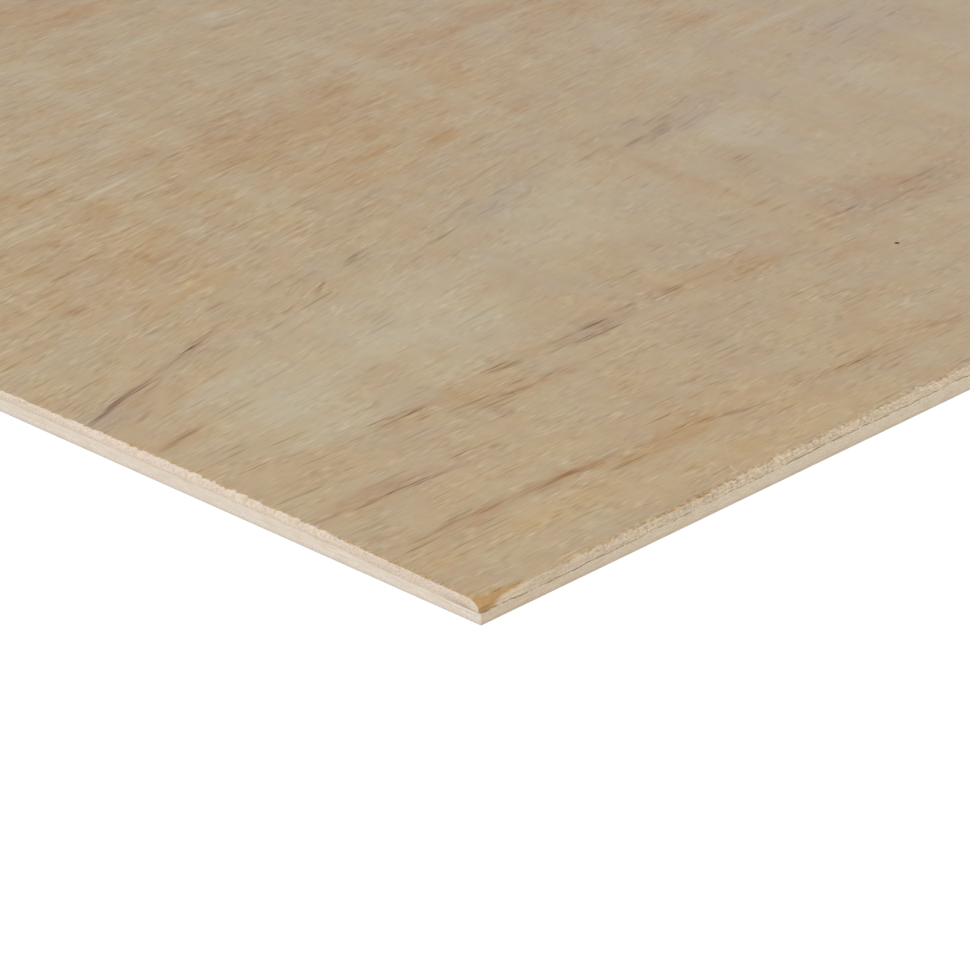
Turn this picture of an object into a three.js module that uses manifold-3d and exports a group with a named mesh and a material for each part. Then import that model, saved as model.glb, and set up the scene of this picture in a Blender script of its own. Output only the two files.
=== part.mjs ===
// A three-ply hardwood sheet lying flat. A face veneer and a back veneer, with their grain along the
// sheet, are glued to a core veneer whose grain runs across it.
// Millimetres, +Z up. The origin is the middle of the back, X runs across the sheet and Y along it.

import * as THREE from 'three';
import { mergeVertices } from 'three/addons/utils/BufferGeometryUtils.js';
import Module from 'manifold-3d';

// The sheet as it is sold: 4 ft by 2 ft, 5.5 mm thick in all.
const sheetLength = 1220;
const sheetWidth = 610;
const faceThickness = 1.9;
const coreThickness = 1.7;
const backThickness = 1.9;

// The face's arris is broken by handling: a little at the cross-cut ends, more along the sides,
// where the fibres lie along the edge and tear away.
const endArrisWidth = 0.7;
const endArrisDrop = 0.5;
const sideArrisWidth = 1.2;
const sideArrisDrop = 0.8;

// The back keeps the arris that the saw left, only sanded off.
const backArrisWidth = 0.3;
const backArrisDrop = 0.2;

// The outer veneers' corners are rubbed round, and the glued core between them stays nearly sharp.
const faceCornerRadius = 1.6;
const coreCornerRadius = 0.4;
const backCornerRadius = 0.8;

// Boat-shaped tears along the sides, where strips of the face veneer have lifted off with the grain.
const tearSpacing = 38;
const tearLength = 22;
const tearWidth = 1.5;
const tearDepth = 0.7;

// One corner of the face has been knocked, and a flake has broken out of it.
const flakeLength = 9;
const flakeWidth = 2.6;
const flakeDepth = 1.1;

// How finely round forms are divided, and how far a cutting form runs past what it cuts.
const arrisSteps = 5;
const cornerSteps = 4;
const scoopSegments = 12;
const scoopRings = 6;
const overrun = 5;

// The two glue lines and the face, measured up from the back.
const backLevel = 0;
const lowerGlueLevel = backThickness;
const upperGlueLevel = backThickness + coreThickness;
const faceLevel = upperGlueLevel + faceThickness;

const wasm = await Module();
wasm.setup();
const { Manifold, Mesh } = wasm;

const alongX = new THREE.Vector3(1, 0, 0);
const alongY = new THREE.Vector3(0, 1, 0);
const up = new THREE.Vector3(0, 0, 1);

function solidFrom(geometry) {
  geometry.deleteAttribute('normal');
  geometry.deleteAttribute('uv');
  const welded = mergeVertices(geometry);
  const vertProperties = Float32Array.from(welded.attributes.position.array);
  const triVerts = Uint32Array.from(welded.index.array);
  return new Manifold(new Mesh({ numProp: 3, vertProperties, triVerts }));
}

function geometryFrom(solid) {
  const { vertProperties, triVerts } = solid.getMesh();
  const geometry = new THREE.BufferGeometry();
  geometry.setAttribute('position', new THREE.BufferAttribute(vertProperties, 3));
  geometry.setIndex(new THREE.BufferAttribute(triVerts, 1));
  geometry.computeVertexNormals();
  return geometry;
}

// A veneer cut square through: flat on its glued side, and rounded off towards its outer side
// if its arris is worn. The section is drawn with its levels as they lie in the sheet.
function veneerSection(span, gluedLevel, outerLevel, arrisWidth, arrisDrop) {
  const edge = span / 2;
  const shoulder = outerLevel - Math.sign(outerLevel - gluedLevel) * arrisDrop;
  const section = new THREE.Shape();
  section.moveTo(-edge, gluedLevel);
  section.lineTo(edge, gluedLevel);
  section.lineTo(edge, shoulder);
  if (arrisWidth > 0) section.quadraticCurveTo(edge, outerLevel, edge - arrisWidth, outerLevel);
  section.lineTo(arrisWidth - edge, outerLevel);
  if (arrisWidth > 0) section.quadraticCurveTo(-edge, outerLevel, -edge, shoulder);
  section.closePath();
  return section;
}

// Pushes a section, whose own upright is the sheet's, through the sheet in one direction.
function runThrough(section, across, distance) {
  const run = distance + 2 * overrun;
  const direction = new THREE.Vector3().crossVectors(across, up);
  const geometry = new THREE.ExtrudeGeometry(section, {
    depth: run,
    bevelEnabled: false,
    curveSegments: arrisSteps,
  });
  geometry.translate(0, 0, -run / 2);
  geometry.applyMatrix4(new THREE.Matrix4().makeBasis(across, up, direction));
  return solidFrom(geometry);
}

// The sheet's outline from above, with its corners rubbed round, as a cutter of full height.
function outlineCutter(cornerRadius) {
  const x = sheetWidth / 2;
  const y = sheetLength / 2;
  const outline = new THREE.Shape();
  outline.moveTo(cornerRadius - x, -y);
  outline.lineTo(x - cornerRadius, -y);
  outline.absarc(x - cornerRadius, cornerRadius - y, cornerRadius, -Math.PI / 2, 0);
  outline.lineTo(x, y - cornerRadius);
  outline.absarc(x - cornerRadius, y - cornerRadius, cornerRadius, 0, Math.PI / 2);
  outline.lineTo(cornerRadius - x, y);
  outline.absarc(cornerRadius - x, y - cornerRadius, cornerRadius, Math.PI / 2, Math.PI);
  outline.lineTo(-x, cornerRadius - y);
  outline.absarc(cornerRadius - x, cornerRadius - y, cornerRadius, Math.PI, 1.5 * Math.PI);
  const geometry = new THREE.ExtrudeGeometry(outline, {
    depth: faceLevel + 2 * overrun,
    bevelEnabled: false,
    curveSegments: cornerSteps,
  });
  geometry.translate(0, 0, -overrun);
  return solidFrom(geometry);
}

// A veneer is what its two sections, across the sheet and along it, have in common with its outline.
function veneer({ gluedLevel, outerLevel, sideArris, endArris, cornerRadius }) {
  const acrossSheet = veneerSection(sheetWidth, gluedLevel, outerLevel, ...sideArris);
  const alongSheet = veneerSection(sheetLength, gluedLevel, outerLevel, ...endArris);
  return runThrough(acrossSheet, alongX, sheetLength)
    .intersect(runThrough(alongSheet, alongY, sheetWidth))
    .intersect(outlineCutter(cornerRadius));
}

// A scoop is an oval hollow that lies along the grain with its widest level at the face.
function scoop(x, y, width, length, depth) {
  const geometry = new THREE.SphereGeometry(1, scoopSegments, scoopRings);
  geometry.scale(width, length / 2, depth);
  geometry.translate(x, y, faceLevel);
  return solidFrom(geometry);
}

// The tears follow each other down both sides. Their places and lengths wander, and the golden
// angle keeps that wandering from repeating.
function sideTears() {
  const goldenAngle = Math.PI * (3 - Math.sqrt(5));
  const count = Math.floor(sheetLength / tearSpacing);
  const firstPlace = (1 - count) * tearSpacing / 2;
  const cuts = [];
  for (const side of [-1, 1]) {
    for (let index = 0; index < count; index += 1) {
      const wander = Math.sin(index * goldenAngle + side);
      const size = 0.7 + 0.3 * Math.cos(index * goldenAngle * 2 - side);
      const place = firstPlace + index * tearSpacing + wander * (tearSpacing - tearLength) / 2;
      const cut = scoop(side * sheetWidth / 2, place, tearWidth * size, tearLength * size, tearDepth * size);
      cuts.push(cut);
    }
  }
  return Manifold.union(cuts);
}

// The knocked corner is the one towards +X and -Y.
function cornerFlake() {
  const middle = flakeLength / 4 - sheetLength / 2;
  return scoop(sheetWidth / 2, middle, flakeWidth, flakeLength, flakeDepth);
}

function faceVeneer() {
  return veneer({
    gluedLevel: upperGlueLevel,
    outerLevel: faceLevel,
    sideArris: [sideArrisWidth, sideArrisDrop],
    endArris: [endArrisWidth, endArrisDrop],
    cornerRadius: faceCornerRadius,
  }).subtract(sideTears()).subtract(cornerFlake());
}

function coreVeneer() {
  return veneer({
    gluedLevel: lowerGlueLevel,
    outerLevel: upperGlueLevel,
    sideArris: [0, 0],
    endArris: [0, 0],
    cornerRadius: coreCornerRadius,
  });
}

function backVeneer() {
  return veneer({
    gluedLevel: lowerGlueLevel,
    outerLevel: backLevel,
    sideArris: [backArrisWidth, backArrisDrop],
    endArris: [backArrisWidth, backArrisDrop],
    cornerRadius: backCornerRadius,
  });
}

function ply(name, solid, color, roughness) {
  const material = new THREE.MeshStandardMaterial({ color, roughness, metalness: 0 });
  const mesh = new THREE.Mesh(geometryFrom(solid), material);
  mesh.name = name;
  return mesh;
}

const plywoodSheet = new THREE.Group();
plywoodSheet.add(ply('back_veneer', backVeneer(), 0xc8b8a1, 0.75));
plywoodSheet.add(ply('core_veneer', coreVeneer(), 0xd8cbb9, 0.8));
plywoodSheet.add(ply('face_veneer', faceVeneer(), 0xb8a488, 0.7));

export default plywoodSheet;
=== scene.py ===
import math

import bpy
import numpy as np
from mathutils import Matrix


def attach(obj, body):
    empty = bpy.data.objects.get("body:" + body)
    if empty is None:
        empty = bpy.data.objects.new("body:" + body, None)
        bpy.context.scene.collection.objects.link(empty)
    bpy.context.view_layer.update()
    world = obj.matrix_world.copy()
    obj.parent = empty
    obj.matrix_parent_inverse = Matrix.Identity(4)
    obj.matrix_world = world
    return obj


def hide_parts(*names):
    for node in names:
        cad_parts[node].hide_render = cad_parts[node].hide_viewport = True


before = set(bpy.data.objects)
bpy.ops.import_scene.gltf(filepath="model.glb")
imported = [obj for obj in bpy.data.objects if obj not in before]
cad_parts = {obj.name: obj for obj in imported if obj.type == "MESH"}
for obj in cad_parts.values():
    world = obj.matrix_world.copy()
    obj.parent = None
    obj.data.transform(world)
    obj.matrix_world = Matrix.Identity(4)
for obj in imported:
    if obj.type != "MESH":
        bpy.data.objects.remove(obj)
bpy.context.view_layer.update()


# The view stands off the knocked corner of the sheet and looks down across its face. A long
# lens keeps the far corners of the sheet from falling away.
lens_length = 134.98
film_width = 36.0
view_spot = (0.791128, -1.115012, 0.366929)
view_tilt = math.radians(64.5855)
view_heading = math.radians(43.839)

camera = bpy.data.objects.new("camera", bpy.data.cameras.new("camera"))
camera.data.sensor_fit = "HORIZONTAL"
camera.data.sensor_width = film_width
camera.data.lens = lens_length
camera.data.clip_start = 0.01
camera.location = view_spot
camera.rotation_euler = (view_tilt, 0, view_heading)
bpy.context.collection.objects.link(camera)
bpy.context.scene.camera = camera


# Back ply: a rotary-cut veneer about 1.9 mm thick, the first sheet laid in the press, its grain
# along the length. The saw that trimmed the pressed panel left its sides nearly square, and
# stacking has rubbed the bottom arris a little round.
millimetre = 0.001
sheet_length = 1220.0
sheet_width = 610.0
back_top = 1.9
back_arris = 0.28
seam = 0.02
rim_depth = 8.0
saw_waver = 0.05

side_length = np.array([sheet_length, sheet_width, sheet_length, sheet_width])
side_start = np.array([[1, -1], [1, 1], [-1, 1], [-1, -1]]) * (sheet_width / 2, sheet_length / 2)
side_ahead = np.array([[0, 1], [-1, 0], [0, -1], [1, 0]], float)
side_inward = np.array([[-1, 0], [0, -1], [1, 0], [0, 1]], float)
side_walk = np.concatenate([[0], np.cumsum(side_length)])
walk_round = side_walk[-1]


def rim_stations():
    """Side number and distance along it, going round from the knocked corner. Close to that
    corner, where the arris is worst, the stations are closest."""
    near, fine, coarse = 230.0, 0.3, 1.2
    pieces = []
    for side, length in enumerate(side_length):
        close_from = {0: (0.0, near), 3: (length - near, length)}.get(side)
        if close_from is None:
            steps = [np.linspace(0, length, int(length / coarse), endpoint=False)]
        else:
            low, high = close_from
            steps = [np.linspace(low, high, int(near / fine), endpoint=False)]
            if low > 0:
                steps.insert(0, np.linspace(0, low, int(low / coarse), endpoint=False))
            if high < length:
                steps.append(np.linspace(high, length, int((length - high) / coarse), endpoint=False))
        along = np.concatenate(steps)
        pieces.append(np.stack([np.full(len(along), side), along], -1))
    stations = np.concatenate(pieces)
    return stations[:, 0].astype(int), stations[:, 1]


side_of, along_side = rim_stations()
walked = side_walk[side_of] + along_side
is_end = (side_of % 2 == 1).astype(float)

# What wanders along a side comes to rest before the corner, so that two sides meet at one height.
calm_reach = 8.0
from_corner = np.minimum(along_side, side_length[side_of] - along_side)
corner_calm = np.clip(from_corner / calm_reach, 0, 1)


def drift(rng, stretch):
    """A value for each station, -1 to 1, that changes smoothly over the stretch."""
    knots = rng.uniform(-1, 1, int(walk_round / stretch) + 3)
    place = walked / stretch
    before = place.astype(int)
    part = place - before
    part = part * part * (3 - 2 * part)
    return knots[before] * (1 - part) + knots[before + 1] * part


def round_the_rim(knots):
    """A value for each station from (distance walked, value) pairs, joined by straight runs."""
    knots = sorted(knots)
    return np.interp(walked, [k[0] for k in knots], [k[1] for k in knots], period=walk_round)


mitre_run = 5


def rim_point(inset):
    """The outline set in by that much at each station, mitred where two sides meet. Stations
    within the mitre's run of a corner, as a multiple of the inset, close up to make room."""
    inset = np.broadcast_to(inset, walked.shape)
    shift = np.zeros(len(walked))
    for side in range(4):
        on = side_of == side
        before = max(inset[side_of == (side - 1) % 4][-1], 1e-6)
        after = max(inset[side_of == (side + 1) % 4][0], 1e-6)
        ahead = along_side[on]
        behind = side_length[side] - ahead
        shift[on] = before * np.clip(1 - ahead / (mitre_run * before), 0, 1)
        shift[on] -= after * np.clip(1 - behind / (mitre_run * after), 0, 1)
    place = side_start[side_of] + side_ahead[side_of] * (along_side + shift)[:, None]
    return place + side_inward[side_of] * inset[:, None]


class Ply:
    """A veneer as one closed mesh: rows of rim stations from the middle of its upper side,
    over the sawn edge, to the middle of its underside, with a coarse grid across each side."""

    cells_along, cells_across = 59, 30
    grid_inset = 20.0
    sharp_from = math.radians(50)

    def __init__(self, name, rows, marks):
        self.name = name
        self.points = []
        self.faces = []
        self.row_of_face = []
        self.marks = {key: [] for key in marks[0]}
        for (inset, height), mark in zip(rows, marks):
            flat = rim_point(inset)
            tall = np.broadcast_to(height, walked.shape)
            self.points.append(np.column_stack([flat, tall]))
            for key, value in mark.items():
                self.marks[key].append(np.broadcast_to(value, walked.shape))
        count = len(walked)
        here = np.arange(count)
        ahead = (here + 1) % count
        for row in range(len(rows) - 1):
            above, below = row * count, (row + 1) * count
            quads = np.stack([below + here, below + ahead, above + ahead, above + here], -1)
            self.faces += quads.tolist()
            self.row_of_face += [row] * count
        self.cover(0, rows[0][1], True)
        self.cover((len(rows) - 1) * count, rows[-1][1], False)

    def cover(self, first, height, upward):
        """Closes one side of the ply inside the ring of rim points that starts at first."""
        base = sum(len(p) for p in self.points)
        half = np.array([sheet_width, sheet_length]) / 2 - self.grid_inset
        across = np.linspace(-half[0], half[0], self.cells_across + 1)
        along = np.linspace(-half[1], half[1], self.cells_along + 1)
        grid = np.array([[(x, y, np.mean(height)) for x in across] for y in along])
        self.points.append(grid.reshape(-1, 3))
        for key in self.marks:
            self.marks[key].append(np.zeros(grid.shape[0] * grid.shape[1]))
        number = base + np.arange(grid.shape[0] * grid.shape[1]).reshape(grid.shape[:2])
        quads = np.stack([number[:-1, :-1], number[:-1, 1:], number[1:, 1:], number[1:, :-1]], -1)
        quads = quads.reshape(-1, 4).tolist()
        edge = [number[:, -1], number[-1, ::-1], number[::-1, 0], number[0, :]]
        ring = np.concatenate([side[:-1] for side in edge])
        reach = np.concatenate([k + np.linspace(0, 1, len(s))[:-1] for k, s in enumerate(edge)])
        outer = side_of + along_side / side_length[side_of]
        strip = []
        i = j = 0
        while i < len(outer) or j < len(ring):
            next_outer = outer[i + 1] if i + 1 < len(outer) else 4.0
            next_ring = reach[j + 1] if j + 1 < len(ring) else 4.0
            step_out = i < len(outer) and (j >= len(ring) or next_outer <= next_ring)
            a, b = first + i % len(outer), ring[j % len(ring)]
            if step_out:
                strip.append([a, first + (i + 1) % len(outer), b])
                i += 1
            else:
                strip.append([a, ring[(j + 1) % len(ring)], b])
                j += 1
        new = quads + [[int(n) for n in face] for face in strip]
        if not upward:
            new = [face[::-1] for face in new]
        self.faces += new
        self.row_of_face += [-1 if upward else -2] * len(new)

    def build(self, materials, use):
        """The object, with materials[use(row)] on the faces of each row."""
        mesh = bpy.data.meshes.new(self.name)
        points = np.concatenate(self.points) * millimetre
        mesh.from_pydata(points.tolist(), [], self.faces)
        for material in materials:
            mesh.materials.append(material)
        slots = np.array([use(row) for row in self.row_of_face], np.int32)
        mesh.polygons.foreach_set("material_index", slots)
        for key, parts in self.marks.items():
            layer = mesh.attributes.new(key, "FLOAT", "POINT")
            layer.data.foreach_set("value", np.concatenate(parts).astype(np.float32))
        mesh.shade_smooth()
        mesh.set_sharp_from_angle(angle=self.sharp_from)
        mesh.validate()
        made = bpy.data.objects.new(self.name, mesh)
        bpy.context.collection.objects.link(made)
        return made


class Finish:
    """A material's nodes as they are put together."""

    def __init__(self, name):
        self.material = bpy.data.materials.new(name)
        self.material.use_nodes = True
        self.tree = self.material.node_tree
        self.tree.nodes.clear()

    def node(self, kind, inputs=(), output=0, **settings):
        made = self.tree.nodes.new("ShaderNode" + kind)
        for key, value in settings.items():
            setattr(made, key, value)
        for socket, value in dict(inputs).items():
            if isinstance(value, bpy.types.NodeSocket):
                self.tree.links.new(value, made.inputs[socket])
            else:
                made.inputs[socket].default_value = value
        return made.outputs[output] if made.outputs else made

    def sum(self, how, *values):
        """A Math node: how is ADD, MULTIPLY and so on."""
        return self.node("Math", dict(enumerate(values)), operation=how)

    def step(self, how, *values, output=0):
        """A Vector Math node."""
        return self.node("VectorMath", dict(enumerate(values)), output, operation=how)

    def ramp(self, value, low, high, to_low=0.0, to_high=1.0, soft=True):
        """The value from low..high to to_low..to_high, held at both ends."""
        inputs = {0: value, 1: low, 2: high, 3: to_low, 4: to_high}
        kind = "SMOOTHSTEP" if soft else "LINEAR"
        return self.node("MapRange", inputs, interpolation_type=kind, clamp=not soft)

    def blend(self, part, first, second):
        """first turning into second as part goes from 0 to 1, both colours."""
        return self.node("Mix", {0: part, 6: first, 7: second}, 2, data_type="RGBA")

    def noise(self, where, scale=1.0, detail=2.0, rough=0.5, flat=False):
        """Soft noise, 0 to 1; flat leaves the height out of it."""
        inputs = {"Vector": where, "Scale": scale, "Detail": detail, "Roughness": rough}
        return self.node("TexNoise", inputs, noise_dimensions="2D" if flat else "3D")

    def stretch(self, where, along, across, through, shift=0.0):
        """Coordinates in which the grain runs along: one unit is this many millimetres."""
        size = (1 / along, 1 / across, 1 / through)
        return self.node("Mapping", {0: where, "Scale": size, "Location": (shift, shift, shift)})

    def in_sheet(self):
        """Millimetres from the knocked corner: along the sheet, across it and up."""
        place = self.node("TexCoord", output=3)
        inputs = {
            0: place,
            "Location": (sheet_length / 2, sheet_width / 2, 0),
            "Rotation": (0, 0, math.radians(-90)),
            "Scale": (1000, 1000, 1000),
        }
        return self.node("Mapping", inputs)

    def mark(self, name):
        return self.node("Attribute", output=2, attribute_name=name)

    def surface(self, colour, roughness, height=None, relief=0.0, gloss=0.3):
        inputs = {"Base Color": colour, "Roughness": roughness, "Specular IOR Level": gloss}
        if height is not None:
            bump = {"Height": height, "Distance": relief * millimetre, "Strength": 1.0}
            inputs["Normal"] = self.node("Bump", bump)
        shader = self.node("BsdfPrincipled", inputs)
        self.node("OutputMaterial", {"Surface": shader})
        return self.material


def colour(red, green, blue):
    """A paint-chart colour, 0 to 255 a channel, as the linear values that the nodes hold."""
    share = np.array([red, green, blue]) / 255
    linear = np.where(share <= 0.04045, share / 12.92, ((share + 0.055) / 1.055) ** 2.4)
    return (*linear.tolist(), 1.0)


def edge_wood(name, end_light, end_dark, long_light, long_dark, glue, along_length):
    """Edge of a veneer: pore ends in speckles where the saw crossed its grain, long fibres
    where it ran with it, flecked where it tore instead, orange where resin has soaked in."""
    wood = Finish(name)
    place = wood.in_sheet()
    down_grain = (5.0, 0.5, 0.4) if along_length else (0.5, 5.0, 0.4)
    cloud = wood.noise(wood.stretch(place, 9, 9, 2.5), detail=2)
    fibre = wood.noise(wood.stretch(place, *down_grain), detail=3, rough=0.65)
    speck = wood.noise(wood.stretch(place, 0.8, 0.8, 0.5), detail=2, rough=0.6)
    fleck = wood.noise(wood.stretch(place, 0.9, 0.55, 0.5), detail=2, rough=0.65)
    crossed = wood.mark("crossed")
    torn = wood.mark("torn")
    long_tone = wood.blend(wood.ramp(fibre, 0.3, 0.68), colour(*long_dark), colour(*long_light))
    end_tone = wood.blend(wood.ramp(speck, 0.3, 0.6), colour(*end_dark), colour(*end_light))
    tone = wood.blend(crossed, long_tone, end_tone)
    tone = wood.blend(wood.ramp(cloud, 0.54, 0.7, 0, 0.3), tone, colour(205, 178, 155))
    tone = wood.blend(wood.ramp(cloud, 0.46, 0.3, 0, 0.3), tone, colour(196, 178, 134))
    light_fleck = wood.sum("MULTIPLY", torn, wood.ramp(fleck, 0.54, 0.68, 0, 0.5))
    dark_fleck = wood.sum("MULTIPLY", torn, wood.ramp(fleck, 0.44, 0.34, 0, 0.6))
    tone = wood.blend(light_fleck, tone, colour(226, 209, 184))
    tone = wood.blend(dark_fleck, tone, colour(150, 126, 96))
    soaked = wood.sum("MULTIPLY", wood.mark("stained"), wood.ramp(fibre, 0.2, 0.6, 0.6, 0.95))
    tone = wood.blend(soaked, tone, colour(174, 135, 84))
    # The glue colour marks real glue lines, and on the back ply's bottom arris it is painted shade as
    # well.
    tone = wood.blend(wood.sum("MULTIPLY", wood.mark("glue_and_shade"), 0.85), tone, colour(*glue))
    tone = wood.blend(wood.mark("bare"), tone, colour(244, 235, 222))
    rise = wood.sum("ADD", fibre, wood.sum("MULTIPLY", speck, 0.5))
    return wood.surface(tone, 0.75, rise, 0.14, 0.2)


rng = np.random.default_rng(11)
lower_glue = back_top + 0.06 * drift(rng, 35.0) * corner_calm
back_rows = [
    (rim_depth, back_top),
    (saw_waver, lower_glue),
    (saw_waver * (0.5 + 0.5 * drift(rng, 6.0) * corner_calm), lower_glue - 0.1),
    (saw_waver * (0.5 + 0.5 * drift(rng, 9.0) * corner_calm), 1.0 + 0.1 * drift(rng, 20.0)),
    (saw_waver, back_arris),
    (back_arris * 0.4, back_arris * 0.3),
    (back_arris, 0.0),
    (rim_depth, 0.0),
]
# The top two rows carry the real glue line. The rows round the bottom arris take the same grey as
# painted shade along the foot of the sheet.
back_glue_and_bottom_shade = (0.15, 0.15, 0, 0, 0.25, 0.5, 0.3, 0)
yellowed = round_the_rim([(0, 0.15), (20, 0.14), (45, 0.05), (90, 0), (walk_round - 0.1, 0)])
back_marks = [dict(crossed=is_end, glue_and_shade=g, torn=0.1, stained=yellowed, bare=0) for g in back_glue_and_bottom_shade]
back_edge = edge_wood(
    "back_ply_edge",
    end_light=(217, 206, 194),
    end_dark=(206, 194, 180),
    long_light=(219, 204, 182),
    long_dark=(205, 188, 163),
    # This grey is the real glue line and also the painted shade at the bottom arris.
    glue=(176, 168, 154),
    along_length=True,
)
back_figure = Finish("back_figure")
under = back_figure.in_sheet()
back_bands = back_figure.noise(back_figure.stretch(under, 160, 15, 10), detail=2)
back_fibres = back_figure.noise(back_figure.stretch(under, 16, 1.2, 10), detail=2, rough=0.6)
deep, pale = colour(183, 163, 135), colour(197, 180, 153)
back_tone = back_figure.blend(back_figure.ramp(back_bands, 0.36, 0.64), deep, pale)
dark_fibres = back_figure.ramp(back_fibres, 0.56, 0.72, 0, 0.45)
light_fibres = back_figure.ramp(back_fibres, 0.44, 0.3, 0, 0.4)
back_tone = back_figure.blend(dark_fibres, back_tone, colour(160, 134, 106))
back_tone = back_figure.blend(light_fibres, back_tone, colour(208, 194, 170))
back_underside = back_figure.surface(back_tone, 0.7, back_fibres, 0.08, 0.2)
underside_rows = (-2, len(back_rows) - 2)
back_ply = Ply("back_ply", back_rows, back_marks)
back_ply = back_ply.build([back_edge, back_underside], lambda row: int(row in underside_rows))
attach(back_ply, "root")
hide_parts("back_veneer")


# Core ply: a paler veneer about 1.7 mm thick, laid crosswise between the two and glued to both.
# The short sides show its long smooth fibres and the long sides show its pore ends.
core_top = 3.6
upper_glue_lowest = 2.77

# The near end comes last on the way round, so its places are counted back from the full walk.
near_end_walk = walk_round
upper_glue_knots = [
    (0, 2.86), (19, 2.9), (32, 2.75), (46, 3.05), (60, 3.2), (74, 3.3), (88, 3.62), (102, 3.76),
    (117, 3.92), (132, 4.15), (148, 4.18), (166, 4.36), (190, 4.2), (240, 3.7), (600, 3.6),
    (1220, 3.6), (1830, 3.65), (3050, 3.6), (near_end_walk - 250, 3.6), (near_end_walk - 156, 3.5),
    (near_end_walk - 126, 3.62), (near_end_walk - 98, 3.6), (near_end_walk - 70, 3.7),
    (near_end_walk - 44, 3.6), (near_end_walk - 31, 3.12), (near_end_walk - 19, 2.92),
    (near_end_walk - 6, 2.88),
]
upper_glue = round_the_rim(upper_glue_knots) + 0.05 * drift(rng, 7.0) * corner_calm
side_waver = 0.22 * drift(rng, 7.0) + 0.14 * drift(rng, 1.6)
upper_glue = upper_glue + np.where(is_end > 0, 0, side_waver) * corner_calm
upper_glue = np.maximum(upper_glue, upper_glue_lowest)

# The knock has pushed the face's edge back from the core's. Where the side gapes between the two,
# the glue line is a crevice with dark resin in it.
knock_reach = 13.0
crevice_depth = 0.25
knock_fade = 1 - np.clip(along_side / knock_reach, 0, 1) ** 2
face_inset = 0.03 + 0.42 * knock_fade * (side_of == 0)
gaping = round_the_rim([(0, 0.5), (60, 0.45), (160, 0.3), (1220, 0.2), (3650, 0.2)])
crevice = np.clip(gaping + 0.7 * drift(rng, 4.1) + 0.6 * drift(rng, 0.9), 0, 1) * (1 - is_end)
near_knock = np.where(side_of == 3, np.clip(1 - (sheet_width - along_side) / 14.0, 0, 0.6), 0)
resin_seam = np.clip(0.15 + crevice * 0.9 + near_knock, 0, 1)

# Slivers have lifted out of the near end and stand proud of the saw cut, bare and pale.
sliver_half = 0.12
sliver_row = 5
lifted = round_the_rim([
    (near_end_walk - 50, 0), (near_end_walk - 49, 0.7), (near_end_walk - 41, 0.6),
    (near_end_walk - 40, 0), (near_end_walk - 11, 0), (near_end_walk - 10, 1),
    (near_end_walk - 6.2, 0.9), (near_end_walk - 5.8, 0), (near_end_walk - 5.2, 0),
    (near_end_walk - 4.8, 1), (near_end_walk - 1.8, 0.8), (near_end_walk - 1.5, 0), (0, 0),
])
sliver_height = 2.36 + 0.07 * drift(rng, 4.0) * corner_calm
core_rows = [
    (rim_depth, core_top),
    (face_inset + seam + crevice_depth * crevice, upper_glue),
    (0.05, upper_glue - 0.03),
    (saw_waver * (0.5 + 0.5 * drift(rng, 5.0) * corner_calm), upper_glue - 0.2),
    (saw_waver, sliver_height + sliver_half),
    (saw_waver * (1 - lifted), sliver_height),
    (saw_waver, sliver_height - sliver_half),
    (saw_waver * (0.5 + 0.5 * drift(rng, 6.0) * corner_calm), lower_glue + 0.1),
    (saw_waver, lower_glue),
    (rim_depth, back_top),
]
core_glue = (resin_seam, resin_seam, resin_seam * 0.7, 0, 0, 0, 0.4 * lifted, 0, 0.15, 0.15)
core_marks = [
    dict(crossed=1 - is_end, glue_and_shade=g, torn=0.1, stained=yellowed, bare=lifted * (row == sliver_row))
    for row, g in enumerate(core_glue)
]
core_edge = edge_wood(
    "core_ply_edge",
    end_light=(220, 205, 182),
    end_dark=(206, 189, 165),
    long_light=(216, 204, 189),
    long_dark=(209, 197, 181),
    glue=(146, 126, 98),
    along_length=False,
)
core_ply = Ply("core_ply", core_rows, core_marks).build([core_edge], lambda row: 0)
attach(core_ply, "root")
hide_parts("core_veneer")


# Face ply: the show veneer, rotary-cut and sanded, its grain along the length. The saw broke
# short splinters off its arris at the ends and long slivers along the sides, and one corner has
# been knocked round down to the glue.
face_top = 5.5
setback_knots = [
    (0, 3.0), (2, 2.4), (5, 1.8), (8, 1.5), (11, 1.0), (14, 0.5), (19, 0.15), (32, 0.3),
    (46, 0.6), (60, 0.45), (74, 0.75), (88, 1.7), (110, 1.9), (148, 2.3), (180, 2.2), (260, 1.2),
    (600, 1.0), (1220, 0.7), (1530, 0.9), (1830, 0.8), (2400, 1.3), (3050, 0.8),
    (near_end_walk - 300, 0.9), (near_end_walk - 156, 0.7), (near_end_walk - 126, 1.3),
    (near_end_walk - 98, 1.5), (near_end_walk - 70, 1.35), (near_end_walk - 56, 1.3),
    (near_end_walk - 44, 0.8), (near_end_walk - 31, 0.5), (near_end_walk - 19, 0.15),
    (near_end_walk - 4, 0.1), (near_end_walk - 0.1, 0.06),
]
setback = round_the_rim(setback_knots)


def splinters(rng, width, spread):
    """Steps across the stations: each broken bundle of fibres ends where it ends."""
    ends = np.cumsum(rng.uniform(1 - spread, 1 + spread, int(2 * walk_round / width)) * width)
    depths = rng.uniform(0, 1, len(ends) + 1)
    return depths[np.searchsorted(ends, walked)]


def slivers(rng, length):
    """Slopes along the stations: each sliver lifts slowly, then breaks off short."""
    ends = np.cumsum(rng.uniform(0.4, 1.6, int(3 * walk_round / length)) * length)
    number = np.searchsorted(ends, walked)
    starts = np.concatenate([[0], ends])[number]
    way = rng.uniform(0, 1, len(ends) + 1) > 0.5
    tall = rng.uniform(0.2, 1, len(ends) + 1)[number]
    part = (walked - starts) / np.maximum(ends[np.minimum(number, len(ends) - 1)] - starts, 0.01)
    return np.where(way[number], part, 1 - part) ** 1.6 * tall


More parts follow.
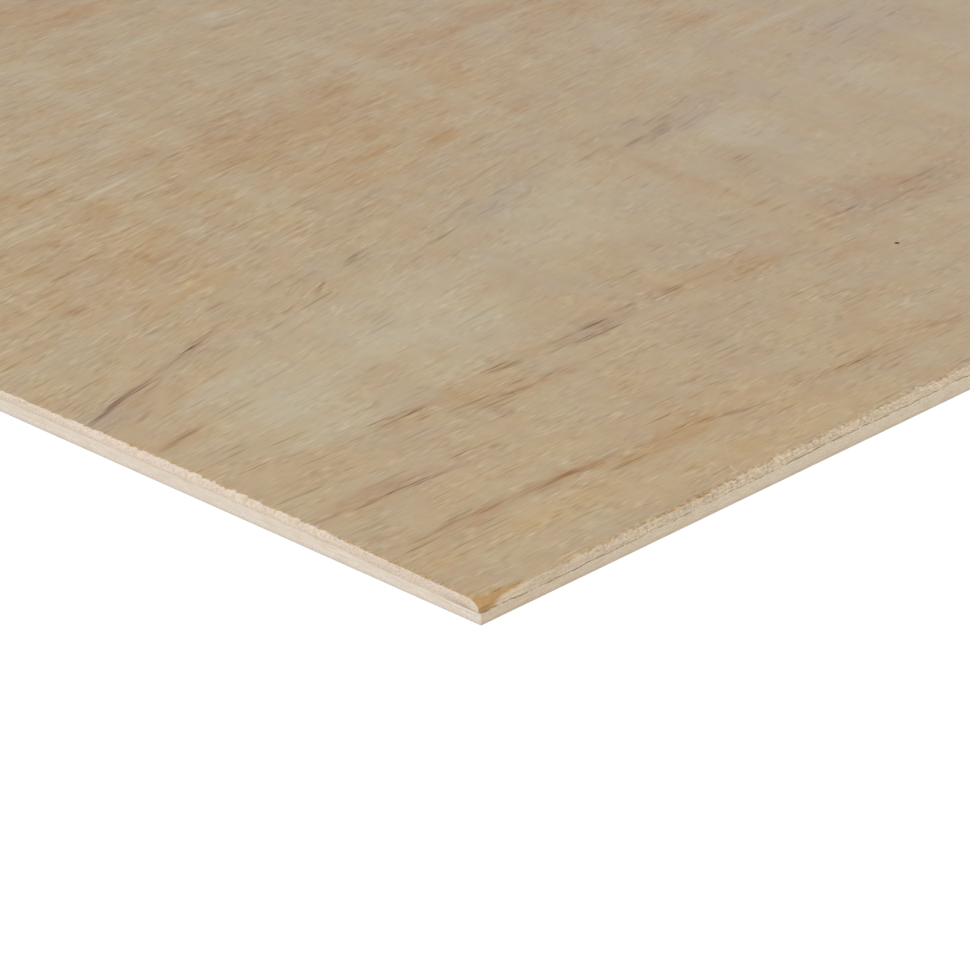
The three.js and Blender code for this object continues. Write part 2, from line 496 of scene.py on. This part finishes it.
end_break = 0.45 * splinters(rng, 1.9, 0.7) + 0.45 * splinters(rng, 0.8, 0.5) - 0.45
side_break = 0.8 * slivers(rng, 9.0) + 0.5 * slivers(rng, 3.5) + 0.25 * drift(rng, 1.1) - 0.6
calm_near_knock = np.where(side_of == 0, np.clip((along_side - 3) / 12, 0.25, 1), corner_calm)
broken = np.where(is_end > 0, end_break, side_break) * np.clip(setback, 0.15, 1.3)
setback = np.maximum(setback + broken * calm_near_knock, face_inset + 0.02)

# The worn slope runs from the lip of the arris down to its foot, which keeps clear of the glue.
# It bulges near the knock and is nearly straight elsewhere.
end_foot = face_top - 0.75 * np.clip(setback, 0.3, 1.6)
foot = np.where(is_end > 0, end_foot, upper_glue + 0.22)
foot = np.maximum(foot, upper_glue + 0.2)
bulge = round_the_rim([(0, 1), (12, 0.8), (40, 0.5), (90, 0.25), (1220, 0.3), (3650, 0.6)])
stain_knots = [
    (0, 1), (10, 1), (12.5, 0.9), (15.5, 0.2), (26, 0.05), (27, 0.7), (30, 0.7), (31, 0.05),
    (33.6, 0.05), (34.5, 0.6), (36.2, 0.6), (37, 0.05), (39.3, 0.05), (40.2, 0.65), (42, 0.65),
    (43, 0.05), (49.4, 0.05), (50.4, 0.7), (52, 0.7), (54, 0.45), (60, 0.5), (62, 0.75), (65, 0.75),
    (67, 0.4), (71, 0.5), (72, 1), (75.5, 1), (77, 0.5), (83, 0.5), (85, 0.1), (96, 0.2), (110, 0.05),
    (150, 0.1), (190, 0.3), (240, 0.1), (1220, 0.1), (1830, 0.2), (3050, 0.1), (3650, 0.1),
]
stain = round_the_rim(stain_knots) * (0.85 + 0.3 * drift(rng, 1.5))
ticks = np.clip(2.2 * splinters(rng, 1.5, 0.7) - 1.5, 0, 0.6)
stain = np.clip(np.where(is_end > 0, ticks, stain), 0, 1)
ledge = np.where(side_of == 0, np.clip(1.2 - along_side / 9.0, 0, 1), 0)


def knocked(part):
    """How far resin shows, at a share of the way down, on the wood bared by the knock."""
    reach = np.interp(part, [0, 0.2, 0.4, 0.6, 1], [14.0, 12.5, 9.5, 7.0, 6.0])
    return np.where(side_of == 0, np.clip((reach - along_side) / 2.0, 0, 1), 0)


pitted = round_the_rim([
    (near_end_walk - 300, 0.2), (near_end_walk - 60, 0.2), (near_end_walk - 48, 0.8),
    (near_end_walk - 36, 0.8), (near_end_walk - 30, 0.3), (near_end_walk - 22, 0.8),
    (near_end_walk - 8, 0.7), (near_end_walk - 2, 0.1), (near_end_walk - 0.1, 0.3), (0, 0.3),
    (24, 0.4), (50, 1), (1220, 1), (1221, 0.2), (1829, 0.2), (1830, 1), (3050, 1), (3051, 0.2),
])
dusty = np.where(side_of == 0, np.interp(along_side, [55, 85, 400, 700], [0, 0.17, 0.17, 0]), 0)

# Rows of the flat side, and of the first rounding down to the lip.
lip = face_top - 0.14
face_rows = [
    (rim_depth, face_top),
    (setback + 2.6, face_top),
    (setback + 0.8, face_top - 0.01),
    (setback + 0.12, face_top - 0.05),
    (setback, lip),
]
face_stain = (0, 0, 0.75 * stain, stain, np.maximum(0.3 * stain, knocked(0)))
face_torn = (0, 0, 0.5 * pitted, pitted, pitted)
face_marks = [
    dict(crossed=is_end, glue_and_shade=0, torn=t, stained=s, bare=0) for t, s in zip(face_torn, face_stain)
]

# Rows of the worn slope. Beside the knock a ledge stands out from it and is undercut below.
slope_rows = 6
ledge_depth = 0.14
ledge_shape = {4: -1.0, 5: 1.5, 6: 1.5}
for number in range(1, slope_rows + 1):
    part = number / slope_rows
    round_in = 1 - math.sin(part * math.pi / 2)
    round_up = math.cos(part * math.pi / 2)
    inset = face_inset + (setback - face_inset) * (bulge * round_in + (1 - bulge) * (1 - part))
    tall = foot + (lip - foot) * (bulge * round_up + (1 - bulge) * (1 - part))
    inset = inset + ledge_depth * ledge * ledge_shape.get(number, 0)
    worn = 0.6 + 0.2 * drift(rng, 7.0) + 0.3 * drift(rng, 1.0) + 0.2 * drift(rng, 0.5)
    worn = worn * np.clip(setback - face_inset, 0, 0.9) * 0.3 * math.sin(part * math.pi)
    face_rows.append((inset + worn, np.maximum(tall - worn, upper_glue + 0.18)))
    face_marks.append(dict(crossed=is_end, glue_and_shade=dusty, torn=pitted, stained=knocked(part), bare=0))

# Rows from the foot down the sawn edge and into the groove at the glue.
face_rows += [
    (face_inset, np.maximum(foot - 0.3, upper_glue + 0.15)),
    (face_inset, upper_glue + 0.13),
    (face_inset + seam + crevice_depth * crevice, upper_glue),
    (rim_depth, core_top),
]
foot_glue = (0.35 * crevice, 0.8 * resin_seam, resin_seam, resin_seam)
face_marks += [
    dict(crossed=is_end, glue_and_shade=g, torn=pitted, stained=knocked(1), bare=0) for g in foot_glue
]

# Over its last stretch the near end takes up the heights that the knocked corner starts with.
knock_blend = np.where(side_of == 3, np.clip(1 - (sheet_width - along_side) / 10.0, 0, 1), 0)
knock_blend = knock_blend * knock_blend * (3 - 2 * knock_blend)
face_rows = [
    (inset, tall * (1 - knock_blend) + np.broadcast_to(tall, walked.shape)[0] * knock_blend)
    for inset, tall in face_rows
]

face_edge = edge_wood(
    "face_ply_edge",
    end_light=(216, 200, 183),
    end_dark=(200, 184, 167),
    long_light=(217, 199, 173),
    long_dark=(189, 171, 145),
    glue=(138, 118, 92),
    along_length=True,
)

# The figure of the show side. The grain runs nearly straight along one side, then fans out from
# a pale band and swings over the rest, with tan clouds, dark resin streaks and pale flecks that
# all follow it. A grain turn is (distance across the near end, slope of the fibres there).
grain_turns = ((85.0, 0.0), (128.0, 0.235), (200.0, 0.16))
grain_swing = 437.0

# What one step up of tone, cool, light and rosy adds to linear red, green and blue.
paler = (0.00127, 0.00288, 0.00302)
cooler = (-0.00426, -0.00200, 0.00205)
lighter = (0.00577, 0.00489, 0.00387)
rosier = (0.00130, -0.00205, 0.00075)

# Clouds are (along, across, half length, half width, strength).
pale_clouds = [
    (42, 89, 34, 7, 11), (45, 106, 32, 13, 17), (95, 112, 48, 13, 9), (45, 125, 36, 8, 12),
    (110, 132, 80, 18, 9), (190, 145, 50, 14, 9), (100, 96, 50, 6, 5), (28, 170, 20, 10, 6),
    (110, 292, 18, 16, 5), (148, 235, 8, 6, 5), (182, 168, 42, 7, 5), (298, 208, 12, 20, 8),
    (308, 238, 18, 14, 8), (355, 213, 30, 8, 8), (272, 153, 22, 10, 9), (332, 154, 16, 10, 8),
    (90, 143, 45, 9, 3), (70, 145, 16, 8, 4), (130, 165, 30, 7, 3), (8, 166, 12, 12, 4),
    (258, 107, 11, 7, 5), (257, 84, 11, 6, 5), (212, 344, 42, 6, 8), (236, 343, 13, 7, 8),
    (178, 332, 16, 4, 7), (157, 342, 13, 22, 11), (232, 302, 12, 10, 7), (200, 297, 22, 4, 5),
]
tan_clouds = [
    (45, 31, 55, 5, 8), (92, 28, 26, 5, 10), (22, 55, 32, 4, 8), (108, 40, 7, 14, 5),
    (163, 23, 16, 6, 9), (194, 23, 14, 6, 8), (145, 25, 9, 8, 9), (130, 85, 28, 5, 9),
    (185, 88, 32, 5, 8), (265, 92, 46, 7, 9), (234, 90, 12, 8, 5), (205, 84, 20, 4, 6),
    (76, 76, 10, 12, 7), (100, 73, 22, 4, 6), (220, 70, 14, 10, 6), (12, 133, 14, 5, 7),
    (28, 197, 14, 10, 5), (62, 208, 36, 28, 5), (86, 198, 18, 24, 7), (78, 178, 24, 8, 5),
    (93, 236, 12, 12, 9), (86, 262, 20, 12, 10), (62, 230, 16, 9, 5), (124, 236, 10, 16, 6),
    (127, 264, 12, 10, 6), (162, 206, 15, 12, 10), (176, 218, 18, 5, 10), (205, 212, 15, 9, 10),
    (240, 213, 15, 6, 7), (172, 252, 58, 24, 10), (170, 270, 16, 7, 7), (213, 266, 14, 13, 10),
    (195, 232, 24, 9, 7), (246, 245, 11, 9, 9), (258, 268, 18, 16, 8), (278, 283, 44, 7, 9),
    (308, 284, 18, 8, 9), (318, 268, 20, 14, 12), (250, 284, 15, 12, 7), (298, 262, 12, 9, 6),
    (337, 234, 16, 18, 9), (345, 256, 12, 14, 8), (198, 388, 34, 20, 9), (207, 376, 20, 7, 10),
    (185, 285, 14, 6, 7), (120, 28, 130, 20, 2.0), (190, 225, 110, 40, 2.2),
    (92, 225, 22, 40, 3), (245, 250, 60, 22, 2), (330, 232, 20, 20, 3), (85, 8, 25, 8, 3),
    (168, 6, 16, 7, 4), (190, 48, 45, 9, 3), (8, 46, 12, 10, 3),
]
mauve_clouds = [
    (130, 85, 28, 5, 3), (265, 92, 46, 7, 3), (12, 133, 14, 5, 4), (22, 55, 32, 4, 3),
    (182, 168, 42, 7, 3), (268, 174, 40, 6, 3), (378, 196, 40, 9, 3),
]
gold_clouds = [
    (110, 10, 70, 10, 4), (30, 20, 50, 8, 3), (78, 178, 24, 8, 3), (162, 206, 15, 12, 1),
    (120, 28, 130, 20, 1.2), (190, 225, 110, 40, 1.4),
    (92, 225, 22, 40, 1), (245, 250, 60, 22, 1), (190, 48, 45, 9, 1.2), (168, 6, 16, 7, 1.5),
]

# Streaks are (along, across, along, across, half width, strength), from one end to the other.
dark_streaks = [
    (-14, 55, 65, 52, 0.9, 16), (3, 32.5, 43, 32, 1.0, 12), (43, 32, 84, 30, 0.9, 12),
    (100, 29, 122, 24.5, 0.8, 14), (50, 81.5, 72, 83, 0.8, 12), (45, 70.5, 60, 70, 0.6, 10),
    (55, 78, 64, 78, 0.8, 9), (70, 73, 100, 72.5, 0.7, 12), (85, 77, 97, 76.5, 0.6, 9),
    (85, 85, 109, 85.5, 0.9, 13), (112, 82, 140, 82.5, 0.8, 13), (126, 87, 137, 87.5, 0.7, 10),
    (156, 88, 170, 88.5, 1.0, 12), (127, 59, 176, 56.5, 0.6, 10), (150, 25, 168, 22.5, 0.9, 12),
    (182, 27, 203, 22, 0.8, 11), (-6, 128, 27, 143, 0.9, 14), (8, 135, 46, 148, 0.9, 13),
    (40, 146, 68, 157, 0.8, 11),
    (38, 131, 50, 135, 0.5, 12), (10, 125, 20, 129, 0.6, 12), (1, 109, 23, 113.5, 0.9, 16),
    (84, 162, 100, 167, 0.8, 10), (94, 151, 108, 160, 0.8, 12), (88, 131, 102, 133.5, 0.6, 8),
    (115, 162, 128, 167, 0.9, 12), (128, 179, 145, 185, 0.7, 9), (148, 162, 184, 175, 0.8, 11),
    (175, 178, 205, 188, 1.0, 10), (225, 166, 262, 172, 1.0, 12), (250, 174, 268, 178, 1.4, 12),
    (255, 167, 287, 175, 0.8, 11), (345, 192, 388, 202, 0.7, 8), (232, 90, 250, 91, 0.8, 10),
    (270, 93, 292, 94, 0.9, 11), (246, 138, 257, 139, 0.8, 9), (232, 331, 252, 337, 0.8, 10),
    (178, 280, 198, 285, 1.0, 8), (190, 366, 212, 376, 1.2, 11), (160, 238, 166, 238, 1.0, 10),
]
pale_streaks = [
    (60, 241, 95, 247, 1.4, 19), (94, 248, 127, 254.5, 1.6, 22), (222, 219, 232, 221, 1.6, 14),
    (250, 262, 262, 264, 1.0, 10), (262, 237, 274, 241, 1.2, 12), (138, 297, 152, 299, 1.0, 10),
    (200, 295, 216, 297, 1.2, 12), (228, 344, 240, 347, 1.2, 12), (204, 357, 218, 360, 1.0, 11),
    (89.8, 3.6, 91.8, 7.6, 0.5, 22), (88.5, 8.5, 90, 12, 0.8, 9), (90, 4, 98, 6.5, 0.4, 7),
    (92, 8, 103, 18, 0.4, 5),
    (150, 167, 182, 177, 1.0, 8), (40, 199, 52, 202, 1.0, 9), (180, 276, 200, 280, 0.8, 10),
]
press_marks = [
    (227, 84, 229, 186, 6, -9), (250, 84, 253, 128, 5, -6), (77, 60, 78, 93, 4, -7),
    (141, 122, 140, 156, 5, -6), (108, 30, 109, 64, 5, -5), (182, 196, 184, 232, 5, -4),
    (318, 92, 320, 136, 6, -5), (107, 188, 108, 266, 6, 8), (135, 186, 134, 230, 6, 8),
    (151, 256, 152, 348, 8, 8), (232, 218, 233, 306, 6, 9), (240, 134, 241, 165, 6, 5),
    (184, 270, 186, 330, 6, -4), (262, 190, 264, 250, 7, -5), (206, 96, 208, 140, 7, 5),
]
hair_bands = [
    (0, 127, 75, 158, 7, 4), (55, 139, 135, 176, 8, 3.5), (35, 76, 78, 77, 9, 4),
    (70, 76, 112, 79, 9, 3.5), (105, 83, 175, 86, 6, 3.5), (140, 158, 262, 180, 9, 3),
    (245, 176, 310, 196, 7, 3.5), (335, 188, 398, 204, 8, 3.5), (0, 33, 95, 30, 4, 3),
    (95, 27, 210, 23, 6, 2.5), (225, 134, 262, 140, 5, 3), (0, 108, 40, 116, 4, 3),
]


def along_grain(along, across):
    """Where the fibre through a spot started, as its distance across the sheet's near end."""
    swing = grain_swing * math.sin(along / grain_swing)
    crossed = [start + slope * swing for start, slope in grain_turns]
    starts = [start for start, slope in grain_turns]
    if across < crossed[0]:
        return starts[0] + across - crossed[0]
    if across > crossed[2]:
        return starts[2] + across - crossed[2]
    return float(np.interp(across, crossed, starts))


figure = Finish("face_figure")
spot = figure.in_sheet()
apart = figure.tree.nodes.new("ShaderNodeSeparateXYZ")
figure.tree.links.new(spot, apart.inputs[0])
along, across = apart.outputs["X"], apart.outputs["Y"]


def add(total, value, strength):
    """The total, with the value added at that strength."""
    return figure.sum("MULTIPLY_ADD", value, strength, total)


swing = figure.sum("SINE", figure.sum("DIVIDE", along, grain_swing))
starts = [start for start, slope in grain_turns]
turns = [add(start, swing, grain_swing * slope) for start, slope in grain_turns]
before_first = figure.sum("MINIMUM", figure.sum("SUBTRACT", across, turns[0]), 0.0)
past_last = figure.sum("MAXIMUM", figure.sum("SUBTRACT", across, turns[-1]), 0.0)
fibre = figure.sum("ADD", before_first, starts[0])
for low, high, first, last in zip(turns, turns[1:], starts, starts[1:]):
    between = figure.ramp(across, low, high, 0.0, last - first, soft=False)
    fibre = figure.sum("ADD", fibre, between)
fibre = figure.sum("ADD", fibre, past_last)
grain = figure.node("CombineXYZ", {0: along, 1: fibre})


def streaky(length, width, shift, detail=1.0, rough=0.5, lean=0.0):
    """Noise drawn out along the grain, 0 to 1, in marks about this long and wide that can lean
    off the grain by a slope. The shift keeps one noise from lying on another."""
    where = grain
    if lean:
        where = figure.node("CombineXYZ", {0: along, 1: add(fibre, along, -lean)})
    return figure.noise(figure.stretch(where, length, width, 1.0, shift), 1.0, detail, rough, flat=True)


def add_noise(total, noise, strength):
    """The total, with a noise added that takes away as much as it gives."""
    return add(total, figure.sum("SUBTRACT", noise, 0.5), strength)


# The edges of clouds are ragged along the grain, those of streaks only a little.
ragged_along = add_noise(along, streaky(30, 1.0, 3.1, detail=2.0, rough=0.6), 46.0)
ragged_fibre = add_noise(fibre, streaky(40, 14, 7.7), 14.0)
ragged_fibre = add_noise(ragged_fibre, streaky(9, 1.6, 1.3), 3.0)
cloud_place = figure.node("CombineXYZ", {0: ragged_along, 1: ragged_fibre})
streak_place = figure.node("CombineXYZ", {0: along, 1: add_noise(fibre, streaky(14, 3, 5.5), 1.7)})
streak_overrun = 0.68


def soft_oval(place, middle, reach, core):
    """1 inside the core, a share of the reach, and fading to 0 at the reach."""
    shift = -np.array(middle) / reach
    place = figure.step("MULTIPLY_ADD", place, (*(1 / reach), 0), (*shift, 0))
    return figure.ramp(figure.step("LENGTH", place, output=1), 1.0, core)


def with_clouds(total, clouds, strength):
    """The total, with soft ragged clouds added at that many times their own strengths."""
    for cloud_along, cloud_across, half_length, half_width, cloud_strength in clouds:
        middle = (cloud_along, along_grain(cloud_along, cloud_across))
        part = soft_oval(cloud_place, middle, np.array([half_length, half_width]), 0.2)
        total = add(total, part, strength * cloud_strength)
    return total


def with_streaks(total, streaks, strength, spread=1.1):
    """The total, with tapered streaks added, spread to that many times their half widths."""
    for along_a, across_a, along_b, across_b, half_width, streak_strength in streaks:
        first = np.array([along_a, along_grain(along_a, across_a)])
        second = np.array([along_b, along_grain(along_b, across_b)])
        middle, run = (first + second) / 2, second - first
        heading = math.atan2(run[1], run[0])
        turned = {0: streak_place, "Center": (*middle, 0), "Angle": -heading}
        place = figure.node("VectorRotate", turned, rotation_type="Z_AXIS")
        reach = np.array([math.hypot(*run) * streak_overrun, half_width * spread])
        total = add(total, soft_oval(place, middle, reach, 0.1), strength * streak_strength)
    return total


# The marks in the lists end at three straight lines. Beyond them noise goes on with bands,
# swells, seeped resin and bleached flecks of the same kind.
past_start = figure.ramp(add(across, along, -1.22), 170.0, 235.0)
past_side = figure.ramp(add(figure.sum("MULTIPLY", across, -1.0), along, 0.727), 126.0, 185.0)
past_far = figure.ramp(add(along, across, 0.96), 594.0, 680.0)
beyond = figure.sum("MAXIMUM", figure.sum("MAXIMUM", past_start, past_side), past_far)
bands = figure.sum("SUBTRACT", streaky(110, 13, 41.0), 0.5)
swells = figure.sum("SUBTRACT", streaky(30, 9, 43.0), 0.5)
seeped = figure.ramp(streaky(46, 2.0, 45.0), 0.67, 0.82, 0.0, 1.1)
bleached = figure.ramp(streaky(24, 2.2, 47.0), 0.68, 0.82)

# The fine marks grow fainter away from the knocked corner.
faint = figure.ramp(add(along, across, 0.45), 120.0, 400.0, 1.0, 0.55)
faint = add(faint, beyond, 0.15)

# Resin: fine dark hairs, in a wider stain that steeps the wood round them.
resin = with_streaks(0.0, dark_streaks, 0.068, spread=2.1)
resin = with_streaks(resin, hair_bands, 0.08)
resin = add(resin, seeped, beyond)
wisps = figure.sum("SUBTRACT", streaky(24, 0.5, 2.2, rough=0.6, lean=0.02), 0.5)
hairs = figure.ramp(add(resin, wisps, 3.4), 0.55, 1.65)
hairs = figure.sum("MULTIPLY", hairs, faint)
steeped = figure.sum("MULTIPLY", figure.ramp(resin, 0.0, 1.0), faint)
soaked = figure.ramp(add(figure.mark("stained"), wisps, 0.9), 0.1, 0.9)
cream = add(with_streaks(0.0, pale_streaks, 0.08), bleached, beyond)

# Lens-shaped gleams and short strokes, only where the grain swings.
wild = figure.ramp(fibre, 105.0, 175.0)
lenses = figure.sum("MULTIPLY", figure.ramp(streaky(14, 2.4, 16.0), 0.62, 0.7), wild)
strokes = figure.sum("MULTIPLY", figure.ramp(streaky(13, 2.8, 18.0), 0.60, 0.7), wild)

# Tone, from tan up to pale.
tone = with_clouds(0.0, pale_clouds, 1.35)
tone = with_clouds(tone, tan_clouds, -1.5)
tone = with_streaks(tone, press_marks, 1.0)
tone = add(tone, figure.sum("MULTIPLY", bands, beyond), 56.0)
tone = add(tone, figure.sum("MULTIPLY", swells, beyond), 32.0)
tone = add_noise(tone, streaky(22, 9.0, 0.4), 19.0)
tone = add_noise(tone, streaky(8.0, 4.0, 4.8), 10.0)
tone = add_noise(tone, streaky(4.0, 60.0, 8.1), 9.0)
tone = add(tone, steeped, -9.0)
tone = add(tone, hairs, -7.0)
tone = add(tone, cream, 13.0)
tone = add(tone, lenses, 6.0)
tone = add(tone, strokes, -6.0)
tone = add(tone, soaked, -28.0)

# Light, from dark up to light: dashes, grit, pores and flecks in patches, long hairs over them,
# all of it weaker in the pale band, then the worm hole, painted as a dark spot of shade with no hole in
# the mesh, and the crumbs of the torn arris.
light = add_noise(0.0, streaky(5.5, 1.4, 9.2, lean=0.1), 20.0)
light = add_noise(light, streaky(3.6, 0.65, 6.6, detail=0.0, lean=0.07), 12.5)
light = add(light, figure.ramp(streaky(8.0, 0.7, 11.0, lean=0.05), 0.65, 0.8), -13.0)
light = add(light, figure.ramp(streaky(7.0, 0.85, 13.0, lean=0.05), 0.62, 0.78), 12.0)
light = figure.sum("MULTIPLY", light, figure.ramp(streaky(15.0, 7.0, 25.0), 0.42, 0.62, 0.35, 1.2))
haired = figure.ramp(streaky(40.0, 11.0, 30.0), 0.42, 0.62, -5.0, -22.0)
haired = add(haired, steeped, -8.0)
light = add(light, figure.ramp(streaky(22, 1.1, 21.0, lean=0.02), 0.63, 0.8), haired)
light = add(light, lenses, 6.0)
light = add(light, strokes, -5.0)
from_pale_band = figure.sum("ABSOLUTE", figure.sum("SUBTRACT", fibre, 109.0))
light = figure.sum("MULTIPLY", light, figure.ramp(from_pale_band, 6.0, 26.0, 0.72, 1.0))
light = figure.sum("MULTIPLY", light, faint)
light = add(light, hairs, -24.0)
# Painted shade: the worm hole is a dark spot in the colour, standing for the shade inside it.
from_painted_hole_shade = figure.step("DISTANCE", spot, (230.3, 66.1, face_top), output=1)
light = add(light, figure.ramp(from_painted_hole_shade, 0.9, 0.5), -66.0)
light = figure.sum("ADD", light, figure.ramp(along, 150.0, 380.0, 0.0, 4.0))
light = add(light, cream, 5.0)
crumb = streaky(1.6, 0.7, 6.6, detail=0.0, lean=0.2)
crumbs = add_noise(0.0, figure.ramp(crumb, 0.5, 0.66), 20.0)
crumbs = add_noise(crumbs, figure.ramp(crumb, 0.5, 0.36), -18.0)
light = add(light, crumbs, figure.mark("torn"))

# Cool, from gold up to mauve, and rosy, from greenish up to pink.
cool = figure.ramp(along, 0.0, 400.0, -1.7, 4.1)
cool = add(cool, soaked, -3.0)
cool = add(cool, steeped, 3.6)
cool = add(cool, hairs, 4.0)
cool = with_clouds(cool, mauve_clouds, 1.5)
cool = with_clouds(cool, gold_clouds, -1.5)
cool = add_noise(cool, streaky(20, 13, 14.2), 11.0)
cool = add_noise(cool, streaky(4.0, 2.6, 15.5, lean=0.2), 4.0)
rosy = add_noise(0.5, streaky(5.0, 3.0, 27.0, lean=0.2), 12.0)

bare_face = colour(181, 160, 130)[:3]
tint = figure.step("MULTIPLY_ADD", tone, paler, bare_face)
tint = figure.step("MULTIPLY_ADD", light, lighter, tint)
tint = figure.step("MULTIPLY_ADD", cool, cooler, tint)
tint = figure.step("MULTIPLY_ADD", rosy, rosier, tint)
rise = streaky(6, 0.6, 2.9, detail=0.0)
face_figure = figure.surface(tint, 0.6, rise, 0.07, 0.2)
figured_rows = (-1, 0, 1, 2)
face_ply = Ply("face_ply", face_rows, face_marks)
face_ply = face_ply.build([face_figure, face_edge], lambda row: int(row not in figured_rows))
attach(face_ply, "root")
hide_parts("face_veneer")


# Studio floor: a wide matt white board that the sheet lies on. It looks plain white, and takes
# the sheet's shadow through a thin grey on top of its glow.
floor_half = 12.0
floor_glow = 0.93
floor_mesh = bpy.data.meshes.new("floor")
corners = [(-1, -1), (1, -1), (1, 1), (-1, 1)]
floor_mesh.from_pydata([(x * floor_half, y * floor_half, 0) for x, y in corners], [], [(0, 1, 2, 3)])
floor = bpy.data.objects.new("floor", floor_mesh)
bpy.context.collection.objects.link(floor)
board = Finish("floor_board")
ray = board.tree.nodes.new("ShaderNodeLightPath")
seen = board.sum("MAXIMUM", ray.outputs["Is Camera Ray"], ray.outputs["Is Glossy Ray"])
seen = board.sum("MAXIMUM", seen, ray.outputs["Is Transmission Ray"])
glow = board.node("Emission", {"Color": (1, 1, 1, 1), "Strength": floor_glow})
thin_grey = board.node("BsdfDiffuse", {"Color": (0.08, 0.08, 0.08, 1)})
matt_white = board.node("BsdfDiffuse", {"Color": (0.8, 0.8, 0.8, 1)})
shown = board.node("AddShader", {0: glow, 1: thin_grey})
mixed = board.node("MixShader", {0: seen, 1: matt_white, 2: shown})
board.node("OutputMaterial", {"Surface": mixed})
floor_mesh.materials.append(board.material)


# White room: even light from all round the sheet, and plain white behind it.
room_light = 0.62
room = bpy.data.worlds.new("room")
bpy.context.scene.world = room
room.use_nodes = True
nodes = room.node_tree.nodes
nodes.clear()
light_round = nodes.new("ShaderNodeBackground")
light_round.inputs["Color"].default_value = (1, 1, 1, 1)
light_round.inputs["Strength"].default_value = room_light
white_behind = nodes.new("ShaderNodeBackground")
white_behind.inputs["Color"].default_value = (1, 1, 1, 1)
ray = nodes.new("ShaderNodeLightPath")
pick = nodes.new("ShaderNodeMixShader")
out = nodes.new("ShaderNodeOutputWorld")
room.node_tree.links.new(ray.outputs["Is Camera Ray"], pick.inputs[0])
room.node_tree.links.new(light_round.outputs[0], pick.inputs[1])
room.node_tree.links.new(white_behind.outputs[0], pick.inputs[2])
room.node_tree.links.new(pick.outputs[0], out.inputs[0])


# Key lamp: one wide soft disk, high up beyond the near end and aimed at the sheet.
lamp_spot = np.array([1.7, -3.6, 3.1])
lamp_aim = np.array([0.1, -0.3, 0.0])
lamp_width = 2.2
lamp_power = 130
lamp = bpy.data.lights.new("key_lamp", "AREA")
lamp.shape = "DISK"
lamp.size = lamp_width
lamp.energy = lamp_power
key_lamp = bpy.data.objects.new("key_lamp", lamp)
key_lamp.location = lamp_spot
aim = lamp_aim - lamp_spot
lamp_tilt = math.atan2(math.hypot(aim[0], aim[1]), -aim[2])
lamp_heading = math.atan2(aim[1], aim[0]) - math.pi / 2
key_lamp.rotation_euler = (lamp_tilt, 0, lamp_heading)
bpy.context.collection.objects.link(key_lamp)

bpy.context.scene.view_settings.view_transform = "Standard"
